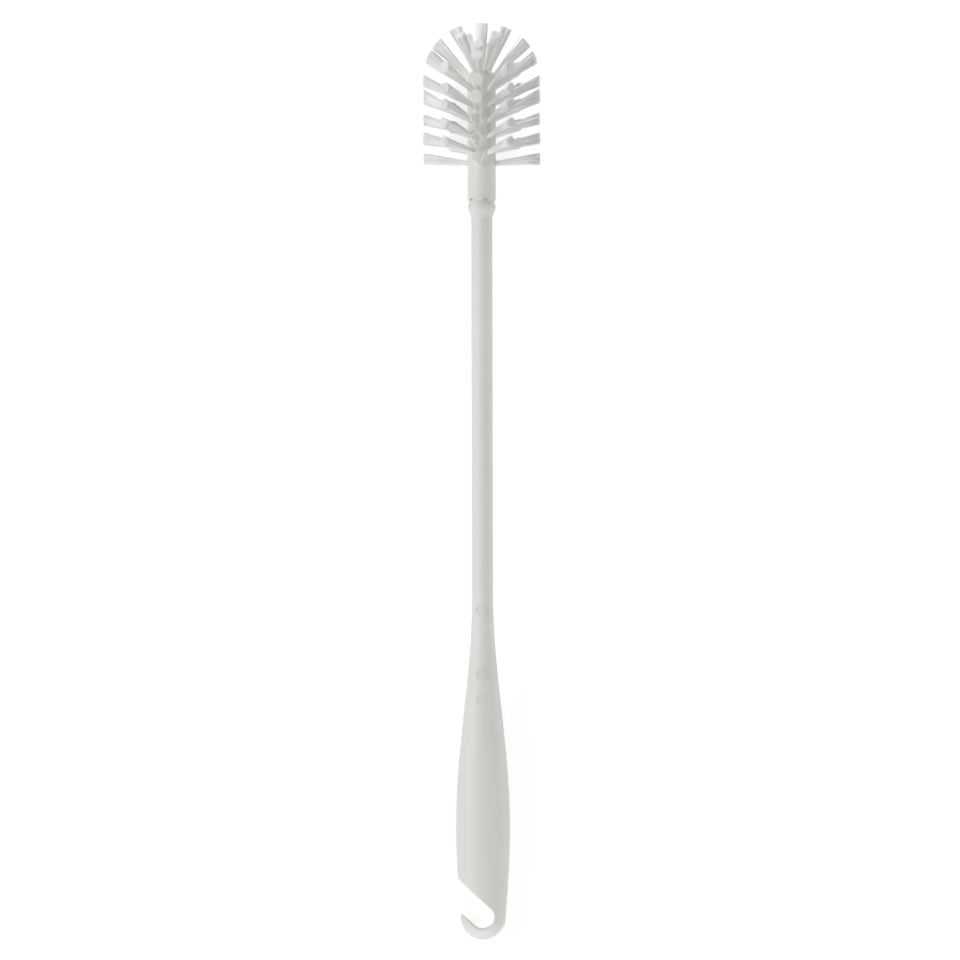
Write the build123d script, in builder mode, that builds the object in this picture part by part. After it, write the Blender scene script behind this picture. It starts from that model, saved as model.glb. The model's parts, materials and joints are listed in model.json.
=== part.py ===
from build123d import *

import os
from math import atan, cos, degrees, pi, radians, sin

# Long-handled bottle brush, millimetres.
#
# A one-piece moulded handle ends in an open hook at one end and a spigot at the other.  A
# moulded brush core is pressed onto the spigot.  Tufts of bristle stand in drilled seats in
# the core, and a flat wire anchor holds the fold of each tuft in its seat.
#
# The brush is drawn upright, with the hook end at z = 0 and the brush end up.  The last
# section lays it on its side, where it rests on the grip and on the lowest tufts.

# ---- grip and hook ----
grip_half_width = 11.5
grip_half_depth = 9.0
grip_widest_height = 48.0
grip_top_height = 147.0
end_half_width = 9.6
end_half_depth = 7.4
end_height = 9.7
lead_in = 5.0

hook_slot_width = 9.8
hook_centre_x = -0.3
hook_centre_height = 9.6
hook_slot_rise = 43.0
hook_edge_round = 0.5

# ---- plain round mould marks on the face of the grip ----
mark_radius = 2.6
mark_depth = 0.25
mark_heights = (101.7, 112.8, 140.2)

# ---- shaft, shoulder and spigot ----
shaft_radius = 4.5
shoulder_start = 306.8
shoulder_taper = 3.7
shoulder_radius = 5.95
shoulder_length = 2.0
neck_radius = 5.4
neck_length = 1.6
spigot_radius = 3.5
spigot_length = 11.0
spigot_chamfer = 0.6
bead_height = 7.0
bead_rise = 0.3

# ---- brush core ----
core_radius = 6.0
core_barrel = 50.8
core_clocking = -5.0
lip_rise = 0.15
lip_height = 1.2
notch_width = 2.3
notch_height = 0.9
notch_depth = 0.8
notch_angles = (22.0, -35.0, 158.0, -145.0)
fit_clearance = 0.05

# ---- tuft seats: rise is the lean towards the brush end, from straight out ----
hole_radius = 1.05
seat_floor_radius = 3.0
dome_seat_depth = 1.8
row_pitch = 6.6
long_row_start = 15.8
short_row_start = 20.5
long_row_angles = (0.0, 90.0, 180.0, 270.0)
short_row_angles = (54.0, 126.0, 234.0, 306.0)
long_row_rises = (5.5, 12.0, 17.0, 24.0, 25.0, 36.5)
short_row_rises = (12.5, 16.0, 20.0, 20.5, 28.0)

# dome seats: the angle down from the tip of the dome, the rise and the angles round the core
outer_ring_seat = 66.0
outer_ring_side_rise = 45.5
outer_ring_face_rise = 41.0
middle_ring_seat = 45.0
middle_ring_rise = 53.0
middle_ring_angles = (62.0, 118.0, 242.0, 298.0)
inner_ring_seat = 33.0
inner_ring_rise = 67.0
inner_ring_angles = (0.0, 180.0)

# ---- tufts ----
brush_radius = 25.0
tuft_neck = 1.0
tuft_spread_length = 24.0
tuft_spread_height = 2.75
tuft_spread_width = 2.3

# ---- wire anchors ----
anchor_thickness = 0.4
anchor_height = 1.1
fold_thickness = 0.35

shoulder_top = shoulder_start + shoulder_taper + shoulder_length
core_seat = shoulder_top + neck_length
dome_centre = core_seat + core_barrel
socket_radius = spigot_radius + fit_clearance
root_radius = hole_radius - fit_clearance
anchor_width = 2 * root_radius
far = 3 * brush_radius


# ---- handle ----
def grip_section(height):
    """Half width and half depth of the grip's oval at a height."""
    if height < grip_widest_height:
        share = sin(pi / 2 * (height - end_height) / (grip_widest_height - end_height))
        half_width = end_half_width + share * (grip_half_width - end_half_width)
        half_depth = end_half_depth + share * (grip_half_depth - end_half_depth)
    else:
        turn = pi * (height - grip_widest_height) / (grip_top_height - grip_widest_height)
        share = (1 + cos(min(turn, pi))) / 2
        half_width = shaft_radius + share * (grip_half_width - shaft_radius)
        half_depth = shaft_radius + share * (grip_half_depth - shaft_radius)
    return half_width, half_depth


def grip_body(inset):
    """The grip as a smooth loft of ovals, smaller all round by inset."""
    below = grip_widest_height - end_height
    above = grip_top_height - grip_widest_height
    heights = [end_height, end_height + 0.5 * below, grip_widest_height]
    heights += [grip_widest_height + share * above for share in (0.2, 0.4, 0.6, 0.8, 0.92, 1.0)]
    heights.append(grip_top_height + lead_in)
    with BuildPart() as grip:
        for height in heights:
            half_width, half_depth = grip_section(height)
            with BuildSketch(Plane.XY.offset(height)):
                Ellipse(half_width - inset, half_depth - inset)
        loft()
    return grip.part


grip_blank = grip_body(0)
mark_floor = grip_body(mark_depth)

with BuildPart() as round_end:
    Sphere(end_half_width)
    split(bisect_by=Plane.XY, keep=Keep.BOTTOM)
    scale(by=(1, end_half_depth / end_half_width, end_height / end_half_width))

with BuildPart() as mark_cutter:
    with BuildSketch(Plane.XZ):
        for height in mark_heights:
            with Locations((0, height)):
                Circle(mark_radius)
    extrude(amount=grip_half_depth + lead_in)
    add(mark_floor, mode=Mode.SUBTRACT)

with BuildPart() as handle:
    add(grip_blank)
    add(round_end.part.moved(Location((0, 0, end_height))))
    with BuildSketch(Plane.XZ):
        with Locations((hook_centre_x, hook_centre_height)):
            Circle(hook_slot_width / 2)
            Rectangle(far, hook_slot_width, rotation=180 - hook_slot_rise, align=(Align.MIN, Align.CENTER))
    extrude(amount=far, both=True, mode=Mode.SUBTRACT)
    slot_walls = handle.faces().filter_by(GeomType.CYLINDER)
    slot_walls += handle.faces().filter_by(GeomType.PLANE).filter_by(Axis.Z, reverse=True)
    slot_rims = [edge for edge in slot_walls.edges() if abs(edge.tangent_at(0.5).Y) < 0.7]
    fillet(slot_rims, radius=hook_edge_round)

    with BuildSketch(Plane.XZ):
        with BuildLine():
            Polyline(
                (0, grip_top_height + lead_in),
                (shaft_radius, grip_top_height + lead_in),
                (shaft_radius, shoulder_start),
                (shoulder_radius, shoulder_start + shoulder_taper),
                (shoulder_radius, shoulder_top),
                (neck_radius, shoulder_top),
                (neck_radius, core_seat),
                (spigot_radius, core_seat),
                (spigot_radius, core_seat + bead_height - bead_rise),
                (spigot_radius + bead_rise, core_seat + bead_height),
                (spigot_radius, core_seat + bead_height + bead_rise),
                (spigot_radius, core_seat + spigot_length - spigot_chamfer),
                (spigot_radius - spigot_chamfer, core_seat + spigot_length),
                (0, core_seat + spigot_length),
                close=True,
            )
        make_face()
    revolve(axis=Axis.Z)
    add(mark_cutter.part, mode=Mode.SUBTRACT)


# ---- seats of the tufts ----
def seat_plane(angle, radius, height, rise):
    """Plane on the core's surface: z along the tuft, x round the core, y up the core."""
    turn = radians(angle + core_clocking)
    lean = radians(rise)
    outward = Vector(cos(turn), sin(turn), 0)
    direction = outward * cos(lean) + Vector(0, 0, sin(lean))
    sideways = Vector(-sin(turn), cos(turn), 0)
    return Plane(origin=outward * radius + Vector(0, 0, height), x_dir=sideways, z_dir=direction)


def row_seats(angle, start, rises):
    """Seats along one straight row on the barrel of the core."""
    heights = [core_seat + start + row_pitch * step for step in range(len(rises))]
    return [seat_plane(angle, core_radius, height, rise) for height, rise in zip(heights, rises)]


def ring_seats(angles, seat_angle, rise):
    """Seats round the dome of the core, at one angle down from its tip."""
    radius = core_radius * sin(radians(seat_angle))
    height = dome_centre + core_radius * cos(radians(seat_angle))
    return [seat_plane(angle, radius, height, rise) for angle in angles]


barrel_depth = core_radius - seat_floor_radius
barrel_groups = {}
for angle in long_row_angles:
    barrel_groups[f"row_{angle:03.0f}"] = row_seats(angle, long_row_start, long_row_rises)
for angle in short_row_angles:
    barrel_groups[f"row_{angle:03.0f}"] = row_seats(angle, short_row_start, short_row_rises)

dome_groups = {
    "outer_ring": ring_seats(long_row_angles[0::2], outer_ring_seat, outer_ring_side_rise)
    + ring_seats(long_row_angles[1::2], outer_ring_seat, outer_ring_face_rise),
    "middle_ring": ring_seats(middle_ring_angles, middle_ring_seat, middle_ring_rise),
    "inner_ring": ring_seats(inner_ring_angles, inner_ring_seat, inner_ring_rise),
    "crown": ring_seats((0.0,), 0.0, 90.0),
}
groups = [(name, seats, barrel_depth) for name, seats in barrel_groups.items()]
groups += [(name, seats, dome_seat_depth) for name, seats in dome_groups.items()]

# ---- brush core ----
with BuildPart() as core:
    with BuildSketch(Plane.XZ):
        with BuildLine():
            Polyline(
                (0, dome_centre + core_radius),
                (0, core_seat + spigot_length + 2 * fit_clearance),
                (socket_radius, core_seat + spigot_length + 2 * fit_clearance),
                (socket_radius, core_seat + bead_height + bead_rise),
                (socket_radius + bead_rise, core_seat + bead_height),
                (socket_radius, core_seat + bead_height - bead_rise),
                (socket_radius, core_seat),
                (core_radius + lip_rise, core_seat),
                (core_radius + lip_rise, core_seat + lip_height),
                (core_radius, core_seat + lip_height + lip_rise),
                (core_radius, dome_centre),
            )
            CenterArc((0, dome_centre), core_radius, 0, 90)
        make_face()
    revolve(axis=Axis.Z)
    for angle in notch_angles:
        with Locations(seat_plane(angle - 90, core_radius + lip_rise, core_seat, 0)):
            Box(notch_width, 2 * notch_height, 2 * notch_depth, mode=Mode.SUBTRACT)
    for name, seats, depth in groups:
        for seat in seats:
            with Locations(seat.offset(-depth)):
                Cylinder(
                    hole_radius,
                    depth + core_radius / 2,
                    align=(Align.CENTER, Align.CENTER, Align.MIN),
                    mode=Mode.SUBTRACT,
                )

# ---- tufts: one straight tuft for each depth of seat, set into every seat of that depth ----
with BuildPart() as brush_envelope:
    Cylinder(brush_radius, core_barrel, align=(Align.CENTER, Align.CENTER, Align.MIN))
    with Locations((0, 0, core_barrel)):
        Sphere(brush_radius)


def straight_tuft(depth):
    """A tuft along +z, z = 0 at the core's surface, with the slot that its anchor fills."""
    floor = fit_clearance - depth
    with BuildPart() as tuft:
        with BuildSketch(Plane.XY.offset(floor)):
            Circle(root_radius)
        extrude(amount=tuft_neck - floor)
        with BuildSketch(Plane.XY.offset(tuft_neck)):
            Ellipse(root_radius, root_radius)
        with BuildSketch(Plane.XY.offset(tuft_spread_length)):
            Ellipse(tuft_spread_width, tuft_spread_height)
        loft()
        with Locations((0, 0, floor + fold_thickness)):
            Box(
                3 * root_radius,
                anchor_thickness,
                anchor_height,
                align=(Align.CENTER, Align.CENTER, Align.MIN),
                mode=Mode.SUBTRACT,
            )
    return tuft.part


def straight_anchor(depth):
    """The flat wire anchor of a tuft along +z, in the slot of the tuft."""
    with BuildPart() as anchor:
        with Locations((0, 0, fit_clearance - depth + fold_thickness)):
            Box(
                anchor_width,
                anchor_thickness,
                anchor_height,
                align=(Align.CENTER, Align.CENTER, Align.MIN),
            )
    return anchor.part


envelope = brush_envelope.part.moved(Location((0, 0, core_seat)))
finished = {"handle": handle.part, "brush_core": core.part}
for name, seats, depth in groups:
    tuft_blank = straight_tuft(depth)
    anchor_blank = straight_anchor(depth)
    with BuildPart() as tufts:
        for seat in seats:
            add(tuft_blank.moved(seat.location))
        add(envelope, mode=Mode.INTERSECT)
    with BuildPart() as anchors:
        for seat in seats:
            add(anchor_blank.moved(seat.location))
    finished[f"tufts_{name}"] = tufts.part
    finished[f"anchors_{name}"] = anchors.part


# ---- laid on its side: it rolls until a long row, the short row beside it and the grip all touch ----
def laid(shape, tilt, roll):
    """The shape on its side, its brush end raised by tilt and itself turned by roll, in degrees."""
    return shape.rotate(Axis.Z, roll).rotate(Axis.X, tilt - 90)


def drop(name, tilt, roll):
    return laid(finished[name], tilt, roll).bounding_box().min.Z


long_row, short_row = long_row_angles[1], short_row_angles[1]
grip_to_tufts = core_seat + long_row_start - end_height
row_to_row = 2 * brush_radius * sin(radians((short_row - long_row) / 2))
rest_tilt = 0.0
rest_roll = 90 - core_clocking - (long_row + short_row) / 2
for _ in range(7):
    grip_drop = drop("handle", rest_tilt, rest_roll)
    long_drop = drop(f"tufts_row_{long_row:03.0f}", rest_tilt, rest_roll)
    short_drop = drop(f"tufts_row_{short_row:03.0f}", rest_tilt, rest_roll)
    rest_tilt += degrees(atan((grip_drop - min(long_drop, short_drop)) / grip_to_tufts))
    rest_roll += degrees(atan((long_drop - short_drop) / row_to_row))
print(f"raised by {rest_tilt:.3f} degrees, rolled by {rest_roll:.3f} degrees")
print(f"drops: grip {grip_drop:.3f}, long row {long_drop:.3f}, short row {short_drop:.3f}")

placed = {name: laid(shape, rest_tilt, rest_roll) for name, shape in finished.items()}
whole = placed["handle"].bounding_box()
for shape in placed.values():
    whole = whole.add(shape.bounding_box())
shift = Location((-whole.center().X, -whole.center().Y, -whole.min.Z))

os.makedirs("parts", exist_ok=True)
for name, shape in placed.items():
    node = shape.moved(shift)
    node.label = name
    export_step(node, f"parts/{name}.step")
    print(name, len(node.solids()), round(node.volume, 2), node.is_valid)
print(f"length {whole.size.Y:.1f}, width {whole.size.X:.1f}, height {whole.size.Z:.1f}")

hook_seat = Vertex(hook_centre_x, 0, hook_centre_height)
hook_face = Vertex(hook_centre_x, -1, hook_centre_height)
hook_way_x = hook_centre_x - cos(radians(hook_slot_rise))
hook_way = Vertex(hook_way_x, 0, hook_centre_height + sin(radians(hook_slot_rise)))
for name, mark in (("seat", hook_seat), ("towards the face", hook_face), ("towards the mouth", hook_way)):
    spot = laid(mark, rest_tilt, rest_roll).moved(shift).center()
    print("hook", name, [round(value, 5) for value in spot])
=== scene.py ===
# Long-handled bottle brush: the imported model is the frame, and its bristles are made here one by one
import json

import bpy
import numpy as np
from mathutils import Matrix, Vector


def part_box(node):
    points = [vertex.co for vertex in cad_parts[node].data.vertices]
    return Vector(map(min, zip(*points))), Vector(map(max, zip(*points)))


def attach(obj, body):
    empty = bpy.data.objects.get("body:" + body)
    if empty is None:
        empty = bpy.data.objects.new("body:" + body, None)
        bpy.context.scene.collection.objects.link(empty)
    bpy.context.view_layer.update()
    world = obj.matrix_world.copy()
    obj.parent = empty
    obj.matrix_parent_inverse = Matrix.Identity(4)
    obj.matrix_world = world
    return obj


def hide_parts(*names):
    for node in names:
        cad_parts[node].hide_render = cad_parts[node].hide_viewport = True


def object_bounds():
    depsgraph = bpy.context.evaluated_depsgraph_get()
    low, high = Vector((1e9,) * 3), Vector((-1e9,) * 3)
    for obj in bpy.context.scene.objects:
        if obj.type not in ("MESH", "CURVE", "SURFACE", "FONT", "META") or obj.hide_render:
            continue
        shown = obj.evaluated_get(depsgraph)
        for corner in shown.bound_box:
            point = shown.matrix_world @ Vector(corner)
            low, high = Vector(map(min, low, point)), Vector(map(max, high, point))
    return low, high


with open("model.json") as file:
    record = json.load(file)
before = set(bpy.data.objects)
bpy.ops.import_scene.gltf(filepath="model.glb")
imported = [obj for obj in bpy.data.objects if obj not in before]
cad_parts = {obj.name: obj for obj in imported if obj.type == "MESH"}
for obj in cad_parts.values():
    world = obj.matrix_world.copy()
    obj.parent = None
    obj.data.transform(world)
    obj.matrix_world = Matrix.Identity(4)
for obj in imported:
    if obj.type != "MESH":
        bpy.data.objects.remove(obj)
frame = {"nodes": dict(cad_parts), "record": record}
nodes = frame["nodes"]
cadLow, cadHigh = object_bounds()
print("frame loaded,", len(nodes), "CAD nodes")

# The brush core's own sizes, in metres and degrees, as the CAD has them
core = {
    "radius": 0.006,
    "lipRadius": 0.00615,
    "clocking": -5.0,  # turn of the whole head about its axis
    "seatFloor": 0.0033,  # how near the axis the filaments start, in the seats of the barrel
    "domeSeatDepth": 0.0015,
    "leanRounds": 8,
}


def brushAxes():
    # The dome touches the top and the far side of the core's box, and the lip its low and near sides.
    # Both centres on the axis follow from those corners, and the lean settles in a few rounds.
    low, high = (np.array(corner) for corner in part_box("brush_core"))
    middle = (low[0] + high[0]) / 2
    dome = np.array([middle, high[1] - core["radius"], high[2] - core["radius"]])
    lean = 0.0
    for _ in range(core["leanRounds"]):
        rise = core["lipRadius"] * np.array([0.0, np.sin(lean), np.cos(lean)])
        seat = np.array([middle, low[1], low[2]]) + rise
        lean = np.arctan2(dome[2] - seat[2], dome[1] - seat[1])
    return seat, lean, np.linalg.norm(dome - seat)


coreSeat, lean, barrel = brushAxes()
along = np.array([0.0, np.cos(lean), np.sin(lean)])  # from the hook to the head
hookAxis = np.array(frame["record"]["mounts"][0]["axis"])  # straight through the hook, out of the grip's face
across = np.cross(along, hookAxis) / np.linalg.norm(np.cross(along, hookAxis))
face = np.cross(across, along)  # out of the grip's face
roll = np.arctan2(face[0], face[2] / np.cos(lean))
print(f"brush leans {np.degrees(lean):.2f} degrees and is rolled by {np.degrees(roll):.2f} degrees")


def fromBrush(points):
    # Brush coordinates (across, away from the face, along from the foot of the core) to the row frame
    return coreSeat + points @ np.stack([across, -face, along])


# Filament tufts: where they stand, how they lean towards the head and how they spread
tufts = {
    "firstSeed": 11,
    "pitch": 0.0066,  # from one tuft of a row to the next
    "longStart": 0.0158,  # first tuft of a long row above the core's foot
    "shortStart": 0.0205,
    "longAngles": (0, 90, 180, 270),
    "shortAngles": (54, 126, 234, 306),
    "longRises": (5.5, 12.0, 17.0, 24.0, 25.0, 36.5),
    "shortRises": (12.5, 16.0, 20.0, 20.5, 28.0),
    "domeRings": {  # name: (angle down from the tip, angles round the core, rises)
        "outer_ring": (66.0, (0, 90, 180, 270), (45.5, 41.0, 45.5, 41.0)),
        "middle_ring": (45.0, (62, 118, 242, 298), (53.0, 51.0, 51.0, 53.0)),
        "inner_ring": (33.0, (0, 180), (67.0,) * 2),
        "crown": (0.0, (0,), (90.0,)),
    },
    "count": 130,  # filament ends drawn in one tuft, more than its seat would hold, so that it looks dense
    "filamentRadius": 0.00017,  # real ones are about 0.13 mm in radius, drawn thicker so that each one shows
    "filamentSides": 4,
    "stations": (0.0, 0.12, 0.4, 0.7, 1.0),  # rings along a filament, from its foot to its cut end
    "rootRadius": 0.00094,
    "neck": 0.0008,  # how far above the core the bundle stays tight
    "spreadLength": 0.024,
    "spreadHeight": 0.0027,
    "spreadWidth": 0.00235,
    "uneven": 0.06,  # usual difference between one tuft's spread, or its middle, and the next one's
    "scatter": 0.05,  # how far a filament stands off its place in the disk, as a share of it
    "bend": 0.00016,  # usual bow of one filament
    "looseShare": 0.025,
    "shake": 0.0001,  # how far a tip stands off its place
    "stray": 0.001,  # and a loose one's tip
    "packShare": (0.84, 0.93),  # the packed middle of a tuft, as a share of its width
    "packSides": 26,
    "packStations": (0.0, 0.12, 0.5, 1.0),
    "packEnd": 0.0007,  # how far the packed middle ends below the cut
    "cutRadius": 0.025,
    "cutBulge": 0.0007,  # how much rounder than the half sphere the shoulders of the dome are
    "cutUneven": 0.0004,
    "cutHeights": (0.008, 0.030),  # the trimmed outline lies between these heights above the core
    "cutRounds": 24,
    "steps": (0.0, 0.0, 0.0005, 0.001),  # one side of some tufts is cut shorter by one of these
    "stepEdge": 0.2,  # where that side starts, as a share of the tuft's half width
    "ownSteps": {"inner_ring": (0.0028, 0.0)},
    "ownLean": {"row_054": 1.2, "row_126": -1.5},  # degrees by which two rows stand off their seats' slope
    "ownWidth": {"row_270": (1.2, 1.15, 1.25, 1.15, 1.2, 1.15)},  # each tuft's spread round the brush
    "ownHeight": {  # each tuft's spread up the brush, in the rows where it isn't left to chance
        "row_180": (1.0, 1.22, 0.88, 1.25, 1.0, 1.2),
        "outer_ring": (1.15, 1.1, 1.2, 1.1),
        "middle_ring": (1.25, 1.1, 1.1, 1.15),
        "inner_ring": (1.1, 1.15),
        "crown": (1.22,),
    },
}


def seatPlanes(angles, radius, height, rises):
    # One row for each tuft: its foot, its direction, sideways round the core and upwards along it
    turn = np.radians(np.array(angles, float) + core["clocking"])
    rise = np.radians(np.array(rises, float))
    zero, one = np.zeros_like(turn), np.ones_like(turn)
    outward = np.stack([np.cos(turn), np.sin(turn), zero], 1)
    axis = np.stack([zero, zero, one], 1)
    direction = outward * np.cos(rise)[:, None] + axis * np.sin(rise)[:, None]
    sideways = np.stack([-np.sin(turn), np.cos(turn), zero], 1)
    foot = outward * np.reshape(radius, (-1, 1)) + axis * np.reshape(height, (-1, 1))
    return foot, direction, sideways, np.cross(direction, sideways)


def outsideTrim(points):
    # Distance outside the trimmed outline: a cylinder round the axis that ends in a half sphere, with
    # a bulge of sin(2 * angle) squared, the angle being taken at the dome's centre, down from the tip
    wide = np.linalg.norm(points[..., :2], axis=-1)
    high = np.maximum(points[..., 2] - barrel, 0)
    distance = np.hypot(wide, high)
    return distance - tufts["cutRadius"] - tufts["cutBulge"] * (2 * wide * high / distance**2) ** 2


def strandLines(seats, root, tip, bow):
    # A strand's point at a height above the core. Its place across the tuft is root + (tip - root) * share
    # + 2 * bow * share * (1 - share), where share is 0 at the neck and 1 at the full spread.
    foot, direction, sideways, upward = (part[:, None, None, :] for part in seats)

    def line(height):
        share = (height - tufts["neck"]) / (tufts["spreadLength"] - tufts["neck"])
        share = np.clip(share, 0, None)[..., None]
        place = root[:, :, None] + (tip - root)[:, :, None] * share
        place = place + 2 * bow[:, :, None] * share * (1 - share)
        return foot + direction * height[..., None] + sideways * place[..., :1] + upward * place[..., 1:]

    return line


def trimHeight(line, shape):
    # Height at which each strand meets the trimmed outline, by halving the stretch that holds it
    near, far = (np.full(shape, height) for height in tufts["cutHeights"])
    for _ in range(tufts["cutRounds"]):
        half = (near + far) / 2
        outside = outsideTrim(line(half)) > 0
        near, far = np.where(outside, near, half), np.where(outside, half, far)
    return near


def ringFaces(tubes, rings, sides):
    # Quads between neighbouring rings of every tube, each from (ring, side) to (ring + 1, side + 1)
    tube = np.arange(tubes)[:, None, None] * rings * sides
    ring = np.arange(rings - 1)[None, :, None] * sides
    side = np.arange(sides)
    here, there = tube + ring + side, tube + ring + (side + 1) % sides
    return np.stack([here, there, there + sides, here + sides], -1).reshape(-1, 4)


def filamentParts(seats, tipOval, lump, steps, depth, rng):
    # A sunflower disk of filaments: number k stands at sqrt(k / count) of the radius, after k golden angles.
    # Each runs straight up the seat, then fans out so that its place in the disk grows to the same place in
    # the tip's oval, with a small bow, up to the trimmed outline. Each is a thin prism with closed ends.
    tuftCount, count, sides = len(seats[0]), tufts["count"], tufts["filamentSides"]
    index = np.arange(count) + 0.5
    spin = index * np.pi * (3 - np.sqrt(5))
    disk = np.sqrt(index / count)[:, None] * np.stack([np.cos(spin), np.sin(spin)], 1)
    disk = disk[None] + rng.normal(0, tufts["scatter"], (tuftCount, count, 2))
    disk = disk / np.maximum(np.linalg.norm(disk, axis=2, keepdims=True), 1.0)
    loose = rng.random((tuftCount, count, 1)) < tufts["looseShare"]
    tip = (disk + lump) * tipOval
    stray, steady = rng.normal(0, tufts["stray"], tip.shape), rng.normal(0, tufts["shake"], tip.shape)
    tip = tip + np.where(loose, stray, steady)
    bow = rng.normal(0, tufts["bend"], tip.shape)
    line = strandLines(seats, disk * tufts["rootRadius"], tip, bow)
    side = rng.choice([-1, 1], (tuftCount, 1))
    step = np.where(disk[..., 0] * side > tufts["stepEdge"], steps[:, None], 0.0)[..., None]
    top = trimHeight(line, (tuftCount, count, 1)) - step
    top = top - np.abs(rng.normal(0, tufts["cutUneven"], top.shape))
    station = np.array(tufts["stations"])
    height = -depth + (top + depth) * station
    height[..., 1] = tufts["neck"]
    corner = rng.random((tuftCount, count, 1, 1)) * np.pi + np.arange(sides) * 2 * np.pi / sides
    sideways, upward = (part[:, None, None, None, :] for part in seats[2:])
    section = np.cos(corner)[..., None] * sideways + np.sin(corner)[..., None] * upward
    points = line(height)[:, :, :, None] + section * tufts["filamentRadius"]
    tubes, rings = tuftCount * count, len(station)
    first = np.arange(tubes)[:, None] * rings * sides + np.arange(sides)
    ends = np.concatenate([first[:, ::-1], first + (rings - 1) * sides])
    tone = np.repeat(rng.random(tubes), rings * sides)
    reach = np.tile(np.repeat(station, sides), tubes)
    return points.reshape(-1, 3), [ringFaces(tubes, rings, sides), ends], tone, reach


def packParts(seats, tipOval, lump, steps, depth, rng):
    # The packed middle of each tuft: a closed loft with uneven flutes, a little inside the outer filaments.
    # Rib k stands at share * (cos, sin)(2 pi k / sides) of the disk, and both end rings close on a point.
    tuftCount, sides = len(seats[0]), tufts["packSides"]
    spin = np.arange(sides) * 2 * np.pi / sides
    share = rng.uniform(*tufts["packShare"], (tuftCount, sides, 1))
    disk = share * np.stack([np.cos(spin), np.sin(spin)], 1)
    line = strandLines(seats, disk * tufts["rootRadius"], (disk + lump) * tipOval, np.zeros_like(disk))
    top = trimHeight(line, (tuftCount, sides, 1)) - tufts["packEnd"] - steps[:, None, None]
    station = np.array(tufts["packStations"])
    height = -depth + (top + depth) * station
    height[..., 1] = tufts["neck"]
    rings = np.swapaxes(line(height), 1, 2)
    centre = rings.mean(axis=2)[:, [0, -1]].reshape(-1, 3)
    points = np.concatenate([rings.reshape(-1, 3), centre])
    ringCount, here = len(station), np.arange(sides)
    tube = np.arange(tuftCount)[:, None] * ringCount * sides
    low, high = tube + here, tube + (ringCount - 1) * sides + here
    pole = tuftCount * ringCount * sides + 2 * np.arange(tuftCount)[:, None].repeat(sides, axis=1)
    turned = np.roll(here, -1)
    lowFan = np.stack([tube + turned, low, pole], -1).reshape(-1, 3)
    highFan = np.stack([high, tube + (ringCount - 1) * sides + turned, pole + 1], -1).reshape(-1, 3)
    tone = np.full(len(points), 0.5)
    reach = np.concatenate([np.tile(np.repeat(station, sides), tuftCount), np.tile([0.0, 1.0], tuftCount)])
    return points, [ringFaces(tuftCount, ringCount, sides), lowFan, highFan], tone, reach


def bundleMesh(row, seats, depth, seed):
    # One mesh from the filaments and the packed middles of all its tufts, joined end to end
    rng = np.random.default_rng(seed)
    tuftCount = len(seats[0])
    fullness = rng.normal(1, tufts["uneven"], (tuftCount, 1, 2))
    lump = rng.normal(0, tufts["uneven"], (tuftCount, 1, 2))
    steps = rng.choice(tufts["steps"], tuftCount)
    for way, own in enumerate(("ownWidth", "ownHeight")):
        if row in tufts[own]:
            fullness[:, 0, way] = tufts[own][row]
    tipOval = np.array([tufts["spreadWidth"], tufts["spreadHeight"]]) * fullness
    steps = np.array(tufts["ownSteps"].get(row, steps))
    name = "bristles_" + row
    made = [make(seats, tipOval, lump, steps, depth, rng) for make in (filamentParts, packParts)]
    points = fromBrush(np.concatenate([part[0] for part in made]))
    offset = np.cumsum([0] + [len(part[0]) for part in made])
    groups = [group + shift for part, shift in zip(made, offset) for group in part[1]]
    faces = [face for group in groups for face in group.tolist()]
    # The sides, which are each part's first group, are smooth, and the ends are flat
    smooth = np.concatenate([np.full(len(group), group is part[1][0]) for part in made for group in part[1]])
    mesh = bpy.data.meshes.new(name)
    mesh.from_pydata(points, [], faces)
    mesh.polygons.foreach_set("use_smooth", smooth)
    for label, column in (("tone", 2), ("reach", 3)):
        layer = mesh.attributes.new(label, "FLOAT", "POINT")
        layer.data.foreach_set("value", np.concatenate([part[column] for part in made]).astype(np.float32))
    mesh.update()
    piece = bpy.data.objects.new(name, mesh)
    bpy.context.scene.collection.objects.link(piece)
    return piece


def sRgb(hexColour):
    # Screen colour to linear light: c / 12.92 when dark, otherwise ((c + 0.055) / 1.055) to the power 2.4
    channel = np.array([int(hexColour[place:place + 2], 16) for place in (1, 3, 5)]) / 255
    light = np.where(channel <= 0.04045, channel / 12.92, ((channel + 0.055) / 1.055) ** 2.4)
    return (*light.tolist(), 1.0)


def addNode(tree, kind, settings=None, links=None):
    # settings are its properties or its sockets' values, and links join a socket to another node's output
    node = tree.nodes.new(kind)
    for key, value in (settings or {}).items():
        if isinstance(key, int) or key in node.inputs:
            node.inputs[key].default_value = value
        else:
            setattr(node, key, value)
    for key, output in (links or {}).items():
        tree.links.new(output, node.inputs[key])
    return node


def newMaterial(name):
    material = bpy.data.materials.new(name)
    material.use_nodes = True
    material.node_tree.nodes.clear()
    return material, material.node_tree


def alongBrush(tree):
    # Object coordinates in the brush's axes: X across, Y along from the core's foot, Z out of the face
    turn = Matrix((across, along, face))
    where = addNode(tree, "ShaderNodeTexCoord")
    settings = {"Rotation": turn.to_euler(), "Location": -(turn @ Vector(coreSeat))}
    return addNode(tree, "ShaderNodeMapping", settings, {"Vector": where.outputs["Object"]}).outputs[0]


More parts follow.
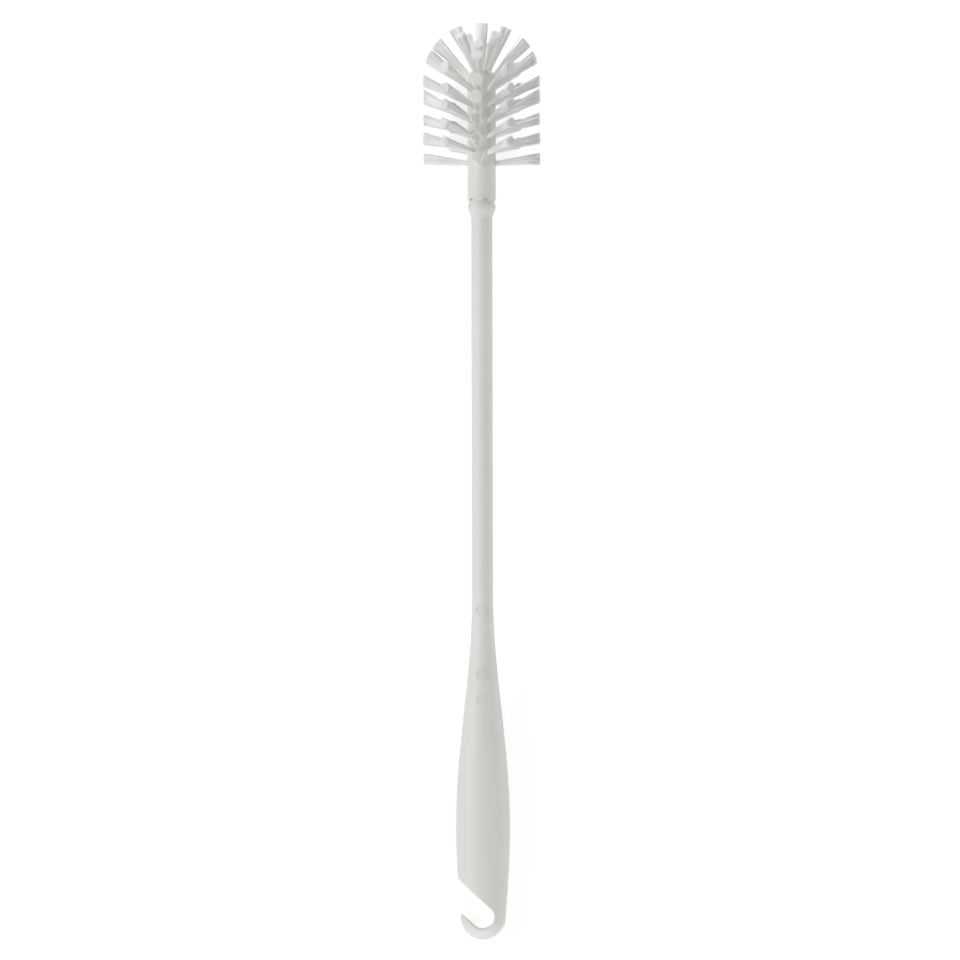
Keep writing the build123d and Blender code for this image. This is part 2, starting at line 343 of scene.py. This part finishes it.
# Polypropylene, injection moulded in a spark-eroded mould: a soft satin white with a fine grain, slightly
# translucent, slightly uneven where the thick grip shrank, with a fine seam where the two mould halves met
polypropylene = {
    "light": "#E1DFDC",
    "deep": "#D9D7D3",
    "roughness": (0.46, 0.56),
    "noiseRange": (0.3, 0.7),  # where most of a noise's values lie
    "ior": 1.49,
    "translucence": 0.12,
    "lightDepth": 0.0015,
    "grain": 0.0007,  # real spark grain is about 0.05 mm, drawn coarser so that it shows
    "grainDepth": 0.000012,
    "sink": 0.016,  # size of the shrunk patches
    "sinkDepth": 0.00012,
    "seamWidth": 0.00012,
    "seamHeight": 0.00005,
}


def mouldedPolypropylene():
    values = polypropylene
    material, tree = newMaterial("moulded_polypropylene")
    place = alongBrush(tree)
    settings = {"Scale": 1 / values["sink"], "Detail": 2.0}
    sink = addNode(tree, "ShaderNodeTexNoise", settings, {"Vector": place})
    settings = {"Scale": 1 / values["grain"], "Detail": 3.0}
    grain = addNode(tree, "ShaderNodeTexNoise", settings, {"Vector": place})
    settings = {"data_type": "RGBA", 6: sRgb(values["deep"]), 7: sRgb(values["light"])}
    colour = addNode(tree, "ShaderNodeMix", settings, {0: sink.outputs["Fac"]})
    (least, most), (low, high) = values["noiseRange"], values["roughness"]
    gloss = {"From Min": least, "From Max": most, "To Min": low, "To Max": high}
    rough = addNode(tree, "ShaderNodeMapRange", gloss, {"Value": grain.outputs["Fac"]})
    parts = addNode(tree, "ShaderNodeSeparateXYZ", None, {0: place})
    off = addNode(tree, "ShaderNodeMath", {"operation": "ABSOLUTE"}, {0: parts.outputs["Z"]})
    edge = {"From Min": 0.0, "From Max": values["seamWidth"], "To Min": 1.0, "To Max": 0.0}
    seam = addNode(tree, "ShaderNodeMapRange", edge, {"Value": off.outputs[0]})
    bump = {"Strength": 1.0, "Distance": values["sinkDepth"]}
    wavy = addNode(tree, "ShaderNodeBump", bump, {"Height": sink.outputs["Fac"]})
    bump = {"Strength": 1.0, "Distance": values["grainDepth"]}
    links = {"Height": grain.outputs["Fac"], "Normal": wavy.outputs[0]}
    grainy = addNode(tree, "ShaderNodeBump", bump, links)
    bump = {"Strength": 1.0, "Distance": values["seamHeight"]}
    links = {"Height": seam.outputs[0], "Normal": grainy.outputs[0]}
    seamed = addNode(tree, "ShaderNodeBump", bump, links)
    finish = {"IOR": values["ior"], "Subsurface Weight": values["translucence"]}
    finish.update({"Subsurface Radius": (1.0, 0.9, 0.8), "Subsurface Scale": values["lightDepth"]})
    links = {"Base Color": colour.outputs[2], "Roughness": rough.outputs[0], "Normal": seamed.outputs[0]}
    shader = addNode(tree, "ShaderNodeBsdfPrincipled", finish, links)
    addNode(tree, "ShaderNodeOutputMaterial", None, {"Surface": shader.outputs[0]})
    return material


# Nylon filament, drawn through a die: clear white and smooth, with the soft sheen of many fine strands
# side by side. It is a shade cooler towards the cut ends, and some filaments are a little duller.
nylon = {
    "root": "#F9FAF6",
    "tip": "#F8F8F7",
    "dull": "#F3F4F0",
    "toneShare": 0.25,  # how far the dullest filament goes towards the dull colour
    "roughness": 0.4,
    "ior": 1.53,
    "sheen": 0.9,
}


def drawnNylon():
    values = nylon
    material, tree = newMaterial("drawn_nylon_filament")
    reach = addNode(tree, "ShaderNodeAttribute", {"attribute_name": "reach"})
    tone = addNode(tree, "ShaderNodeAttribute", {"attribute_name": "tone"})
    settings = {"data_type": "RGBA", 6: sRgb(values["root"]), 7: sRgb(values["tip"])}
    length = addNode(tree, "ShaderNodeMix", settings, {0: reach.outputs["Fac"]})
    settings = {"operation": "MULTIPLY", 1: values["toneShare"]}
    amount = addNode(tree, "ShaderNodeMath", settings, {0: tone.outputs["Fac"]})
    settings = {"data_type": "RGBA", 7: sRgb(values["dull"])}
    colour = addNode(tree, "ShaderNodeMix", settings, {0: amount.outputs[0], 6: length.outputs[2]})
    finish = {"Roughness": values["roughness"], "IOR": values["ior"], "Sheen Weight": values["sheen"]}
    shader = addNode(tree, "ShaderNodeBsdfPrincipled", finish, {"Base Color": colour.outputs[2]})
    addNode(tree, "ShaderNodeOutputMaterial", None, {"Surface": shader.outputs[0]})
    return material


# Flat drawn steel wire: bright and grey, with a fine uneven gloss from the die
wire = {"colour": "#B9B7B3", "roughness": (0.28, 0.4), "dieMarks": 0.00012}


def drawnSteelWire():
    values = wire
    material, tree = newMaterial("drawn_steel_wire")
    place = alongBrush(tree)
    settings = {"Scale": 1 / values["dieMarks"], "Detail": 1.0}
    marks = addNode(tree, "ShaderNodeTexNoise", settings, {"Vector": place})
    gloss = {"To Min": values["roughness"][0], "To Max": values["roughness"][1]}
    rough = addNode(tree, "ShaderNodeMapRange", gloss, {"Value": marks.outputs["Fac"]})
    finish = {"Base Color": sRgb(values["colour"]), "Metallic": 1.0}
    shader = addNode(tree, "ShaderNodeBsdfPrincipled", finish, {"Roughness": rough.outputs[0]})
    addNode(tree, "ShaderNodeOutputMaterial", None, {"Surface": shader.outputs[0]})
    return material


def dress(node, material):
    for holder in nodes[node].material_slots:
        holder.material = material


plastic = mouldedPolypropylene()
filament = drawnNylon()
steel = drawnSteelWire()
for node in nodes:
    dress(node, steel if node.startswith("anchors") else plastic)
print("materials made")


def standTufts(name, seats, depth, seed):
    piece = bundleMesh(name, seats, depth, seed)
    piece.data.materials.append(filament)
    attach(piece, "root")
    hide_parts("tufts_" + name)


def standAllTufts():
    depth = core["radius"] - core["seatFloor"]
    seed = tufts["firstSeed"]
    for row in ("long", "short"):
        height = tufts[row + "Start"] + tufts["pitch"] * np.arange(len(tufts[row + "Rises"]))
        for angle in tufts[row + "Angles"]:
            name = f"row_{angle:03d}"
            rises = np.array(tufts[row + "Rises"]) + tufts["ownLean"].get(name, 0.0)
            seats = seatPlanes([angle] * len(height), core["radius"], height, rises)
            standTufts(name, seats, depth, seed)
            seed += 1
    for name, (down, angles, rises) in tufts["domeRings"].items():
        radius = core["radius"] * np.sin(np.radians(down))
        height = barrel + core["radius"] * np.cos(np.radians(down))
        standTufts(name, seatPlanes(angles, radius, height, rises), core["domeSeatDepth"], seed)
        seed += 1


standAllTufts()
print("bristles made")

# Table, world and lamps: soft and plain, with the larger light on the side of the hook's mouth.
# The table is a matt white painted board, which mirrors nothing and takes a soft shadow.
studio = {
    "tableSize": 6.0,
    "tableColour": "#F4F4F4",
    "tableGlow": 0.42,  # added to the table only where it is seen directly
    "ambient": 0.33,  # strength of the sky as the brush gets it
    "lamps": {  # name: (place from the brush's middle: across, along and out of its face, size, watts)
        "keySoftbox": ((-1.15, 0.1, 1.0), 1.3, 12.0),
        "rimSoftbox": ((1.3, 0.0, -0.05), 0.5, 4.3),
        "hookEndSoftbox": ((0.2, -1.4, 0.36), 0.9, 9.5),
        "headEndSoftbox": ((0.0, 1.4, 0.36), 0.9, 8.0),
    },
}


def seenDirectly(tree):
    # 1 for what the camera sees, straight or in a gloss, and 0 for the light that falls on the brush
    ray = addNode(tree, "ShaderNodeLightPath")
    pair = {0: ray.outputs["Is Glossy Ray"], 1: ray.outputs["Is Transmission Ray"]}
    mirrored = addNode(tree, "ShaderNodeMath", {"operation": "MAXIMUM"}, pair)
    pair = {0: ray.outputs["Is Camera Ray"], 1: mirrored.outputs[0]}
    return addNode(tree, "ShaderNodeMath", {"operation": "MAXIMUM"}, pair).outputs[0]


def layTable():
    # One flat square at height 0
    half = studio["tableSize"] / 2
    corners = np.array([(-half, -half, 0), (half, -half, 0), (half, half, 0), (-half, half, 0)], float)
    mesh = bpy.data.meshes.new("table")
    mesh.from_pydata(corners, [], [(0, 1, 2, 3)])
    material, tree = newMaterial("matte_white_table")
    diffuse = addNode(tree, "ShaderNodeBsdfDiffuse", {"Color": sRgb(studio["tableColour"])})
    amount = {"operation": "MULTIPLY", 1: studio["tableGlow"]}
    glow = addNode(tree, "ShaderNodeMath", amount, {0: seenDirectly(tree)})
    emission = addNode(tree, "ShaderNodeEmission", {"Color": (1, 1, 1, 1)}, {"Strength": glow.outputs[0]})
    both = addNode(tree, "ShaderNodeAddShader", None, {0: diffuse.outputs[0], 1: emission.outputs[0]})
    addNode(tree, "ShaderNodeOutputMaterial", None, {"Surface": both.outputs[0]})
    mesh.materials.append(material)
    table = bpy.data.objects.new("table", mesh)
    bpy.context.scene.collection.objects.link(table)


def lightRoom():
    # An even sky, and round lamps that all look at the brush's middle
    world = bpy.data.worlds.new("studio")
    bpy.context.scene.world = world
    world.use_nodes = True
    tree = world.node_tree
    tree.nodes.clear()
    level = {"From Min": 0.0, "From Max": 1.0, "To Min": studio["ambient"], "To Max": 1.0}
    strength = addNode(tree, "ShaderNodeMapRange", level, {"Value": seenDirectly(tree)})
    sky = addNode(tree, "ShaderNodeBackground", {"Color": (1, 1, 1, 1)}, {"Strength": strength.outputs[0]})
    addNode(tree, "ShaderNodeOutputWorld", None, {"Surface": sky.outputs[0]})
    middle = (np.array(cadLow) + np.array(cadHigh)) / 2
    for name, (offset, size, watts) in studio["lamps"].items():
        lamp = bpy.data.lights.new(name, "AREA")
        lamp.shape, lamp.size, lamp.energy = "DISK", size, watts
        holder = bpy.data.objects.new(name, lamp)
        bpy.context.scene.collection.objects.link(holder)
        towards = np.array(offset) @ np.stack([across, along, face])
        holder.location = middle + towards
        holder.rotation_euler = Vector(towards).to_track_quat("Z", "Y").to_euler()


# Camera: square to the brush's axis, far off, so that the two ends show with little perspective
view = {
    "distance": 5.0,
    "frame": 0.408,  # how much of the brush's plane the picture takes in
    "sensor": 36,  # millimetres
    "roll": -0.12,  # degrees about the line of sight
    "right": -0.0010,
    "up": 0.0004,
}


def setCamera():
    lens = bpy.data.cameras.new("camera")
    lens.sensor_width = view["sensor"]
    lens.lens = view["sensor"] * view["distance"] / view["frame"]
    camera = bpy.data.objects.new("camera", lens)
    bpy.context.scene.collection.objects.link(camera)
    hookEnd, headEnd = np.array(cadLow)[1], np.array(cadHigh)[1]
    centre = coreSeat + along * ((hookEnd + headEnd) / 2 - coreSeat[1]) / along[1]
    turn = np.radians(view["roll"])
    right = across * np.cos(turn) + along * np.sin(turn)
    up = along * np.cos(turn) - across * np.sin(turn)
    place = centre + right * view["right"] + up * view["up"] + face * view["distance"]
    axes = Matrix((right, up, face)).transposed().to_4x4()
    camera.matrix_world = Matrix.Translation(Vector(place)) @ axes
    bpy.context.scene.camera = camera


layTable()
lightRoom()
setCamera()
bpy.context.scene.view_settings.view_transform = "Standard"
print("table, lamps and camera set")
